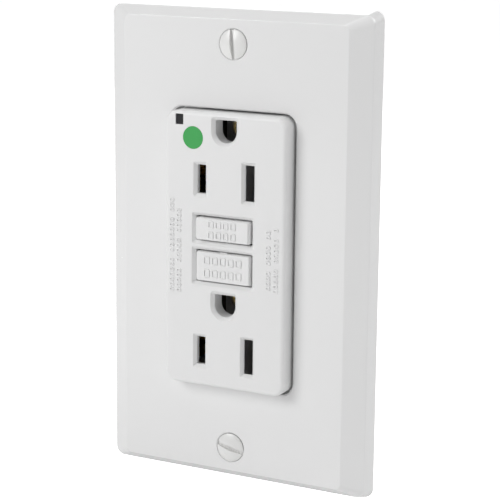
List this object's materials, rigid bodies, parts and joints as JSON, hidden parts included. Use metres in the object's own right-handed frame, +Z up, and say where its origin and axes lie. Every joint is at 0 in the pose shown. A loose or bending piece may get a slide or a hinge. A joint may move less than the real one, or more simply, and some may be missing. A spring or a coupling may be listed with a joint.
{
  "type": "gfci outlet",
  "caption": "Duplex ground-fault outlet with test and reset buttons, indicator window and bevelled wall plate on a strap that screws to a wall box",
  "frame": {"origin": "middle of the wall plate, on the wall surface (the plane of the plate's back rim)", "axes": "+X right seen from the front, +Y into the wall, +Z up; the face looks along -Y"},
  "size_m": [0.0698, 0.0407, 0.1142],
  "materials": {
    "white_plastic": "smooth, softly glossy",
    "face_plastic": "fine satin texture",
    "button_plastic": "fine satin texture",
    "painted_screw": "white enamel",
    "green_mark": "printed ink",
    "clear_plastic": "clear moulded",
    "galvanized_steel": "galvanized",
    "zinc_steel": "zinc plated",
    "bare_steel": "drawn",
    "green_screw": "green plated",
    "brass": "stamped",
    "copper": "copper, enamelled or rolled",
    "nylon": "natural",
    "grey_plastic": "moulded",
    "housing_plastic": "moulded, eroded texture",
    "black_plastic": "moulded",
    "board_green": "solder mask",
    "core_alloy": "ferrite",
    "blue_coating": "dipped coating",
    "yellow_coating": "moulded case",
    "tan_coating": "dipped coating"
  },
  "bodies": {
    "device": {"assembly_screws": "zinc_steel", "box_screws": "zinc_steel", "circuit_board": "board_green", "control_chip": "black_plastic", "core_windings": "copper", "face_cover": "face_plastic", "film_capacitor": "yellow_coating", "green_dot": "green_mark", "ground_fault_core": "core_alloy", "hot_face_contacts": "brass", "hot_line_terminal": "brass", "indicator_lamp": "clear_plastic", "indicator_light_pipe": "clear_plastic", "line_conductors": "copper", "lower_ground_contact": "brass", "middle_housing": "grey_plastic", "mounting_strap": "galvanized_steel", "neutral_face_contacts": "brass", "neutral_fault_core": "core_alloy", "neutral_line_terminal": "brass", "plate_screws": "painted_screw", "plunger_spring": "bare_steel", "rear_housing": "housing_plastic", "rectifier_diodes": "black_plastic", "reset_spring": "bare_steel", "resistors": "tan_coating", "screw_retainers": "nylon", "solenoid_bobbin": "nylon", "solenoid_coil": "copper", "solenoid_frame": "zinc_steel", "surge_varistor": "blue_coating", "test_post": "brass", "thyristor": "black_plastic", "transformer_cup": "black_plastic", "upper_ground_contact": "brass", "wall_plate": "white_plastic"},
    "test_button": {"test_button": "button_plastic"},
    "test_spring_arm": {"test_spring_arm": "copper"},
    "reset_button": {"reset_button": "button_plastic", "reset_pin": "bare_steel"},
    "contact_carrier": {"contact_carrier": "grey_plastic"},
    "hot_contact_arm": {"hot_contact_arm": "copper"},
    "neutral_contact_arm": {"neutral_contact_arm": "copper"},
    "latch_plate": {"latch_plate": "zinc_steel"},
    "solenoid_plunger": {"solenoid_plunger": "bare_steel"},
    "ground_clamp": {"ground_clamp": "zinc_steel"},
    "ground_screw": {"ground_screw": "green_screw"},
    "line_hot_screw": {"line_hot_screw": "brass"},
    "line_hot_clamp": {"line_hot_clamp": "zinc_steel"},
    "line_neutral_screw": {"line_neutral_screw": "zinc_steel"},
    "line_neutral_clamp": {"line_neutral_clamp": "zinc_steel"},
    "load_hot_screw": {"load_hot_screw": "brass"},
    "load_hot_clamp": {"load_hot_clamp": "zinc_steel"},
    "load_neutral_screw": {"load_neutral_screw": "zinc_steel"},
    "load_neutral_clamp": {"load_neutral_clamp": "zinc_steel"}
  },
  "joints": [
    {"name": "test_press", "type": "slide", "parent": "device", "child": "test_button", "axis": [0, 1, 0], "range_m": [0, 0.0015]},
    {"name": "test_arm_bend", "type": "hinge", "parent": "device", "child": "test_spring_arm", "pos_m": [0.0065, 0.003, 0.0054], "axis": [0, 0, -1], "range_deg": [0, 13.52]},
    {"name": "reset_press", "type": "slide", "parent": "device", "child": "reset_button", "axis": [0, 1, 0], "range_m": [-0.0018, 0], "deforming": ["reset_spring", "plunger_spring"]},
    {"name": "carrier_drop", "type": "slide", "parent": "device", "child": "contact_carrier", "axis": [0, 1, 0], "range_m": [0, 0.00122]},
    {"name": "latch_slide", "type": "slide", "parent": "contact_carrier", "child": "latch_plate", "axis": [0, 0, 1], "range_m": [0, 0.00152]},
    {"name": "plunger_pull", "type": "slide", "parent": "device", "child": "solenoid_plunger", "axis": [0, 0, 1], "range_m": [0, 0.00152]},
    {"name": "hot_arm_swing", "type": "hinge", "parent": "device", "child": "hot_contact_arm", "pos_m": [-0.009, 0.014, -0.0165], "axis": [-1, 0, 0], "range_deg": [0, 5.43]},
    {"name": "neutral_arm_swing", "type": "hinge", "parent": "device", "child": "neutral_contact_arm", "pos_m": [0.009, 0.014, -0.0165], "axis": [-1, 0, 0], "range_deg": [0, 5.43]},
    {"name": "line_hot_screw_turn", "type": "hinge", "parent": "device", "child": "line_hot_screw", "pos_m": [-0.018, 0.016, -0.0185], "axis": [1, 0, 0], "range_deg": [0, 900]},
    {"name": "line_hot_clamp_slide", "type": "slide", "parent": "device", "child": "line_hot_clamp", "axis": [-1, 0, 0], "range_m": [0, 0.00198]},
    {"name": "line_neutral_screw_turn", "type": "hinge", "parent": "device", "child": "line_neutral_screw", "pos_m": [0.018, 0.016, -0.0185], "axis": [-1, 0, 0], "range_deg": [0, 900]},
    {"name": "line_neutral_clamp_slide", "type": "slide", "parent": "device", "child": "line_neutral_clamp", "axis": [1, 0, 0], "range_m": [0, 0.00198]},
    {"name": "load_hot_screw_turn", "type": "hinge", "parent": "device", "child": "load_hot_screw", "pos_m": [-0.018, 0.016, 0.0185], "axis": [1, 0, 0], "range_deg": [0, 900]},
    {"name": "load_hot_clamp_slide", "type": "slide", "parent": "device", "child": "load_hot_clamp", "axis": [-1, 0, 0], "range_m": [0, 0.00198]},
    {"name": "load_neutral_screw_turn", "type": "hinge", "parent": "device", "child": "load_neutral_screw", "pos_m": [0.018, 0.016, 0.0185], "axis": [-1, 0, 0], "range_deg": [0, 900]},
    {"name": "load_neutral_clamp_slide", "type": "slide", "parent": "device", "child": "load_neutral_clamp", "axis": [1, 0, 0], "range_m": [0, 0.00198]},
    {"name": "ground_clamp_slide", "type": "slide", "parent": "device", "child": "ground_clamp", "axis": [1, 0, 0], "range_m": [0, 0.00158]},
    {"name": "ground_screw_turn", "type": "hinge", "parent": "ground_clamp", "child": "ground_screw", "pos_m": [0.0155, 0.0056, -0.04075], "axis": [1, 0, 0], "range_deg": [0, 720]}
  ],
  "couplings": [
    {"joint": "test_arm_bend", "follows": "test_press", "rad_per_m": 153.85},
    {"joint": "carrier_drop", "follows": "reset_press", "ratio": -0.66667},
    {"joint": "latch_slide", "follows": "reset_press", "ratio": -0.83333},
    {"joint": "plunger_pull", "follows": "reset_press", "ratio": -0.83333},
    {"joint": "hot_arm_swing", "follows": "reset_press", "rad_per_m": -51.68},
    {"joint": "neutral_arm_swing", "follows": "reset_press", "rad_per_m": -51.68},
    {"joint": "line_hot_screw_turn", "follows": "line_hot_clamp_slide", "rad_per_m": 7913.3},
    {"joint": "line_neutral_screw_turn", "follows": "line_neutral_clamp_slide", "rad_per_m": 7913.3},
    {"joint": "load_hot_screw_turn", "follows": "load_hot_clamp_slide", "rad_per_m": 7913.3},
    {"joint": "load_neutral_screw_turn", "follows": "load_neutral_clamp_slide", "rad_per_m": 7913.3},
    {"joint": "ground_screw_turn", "follows": "ground_clamp_slide", "rad_per_m": 7913.3}
  ]
}
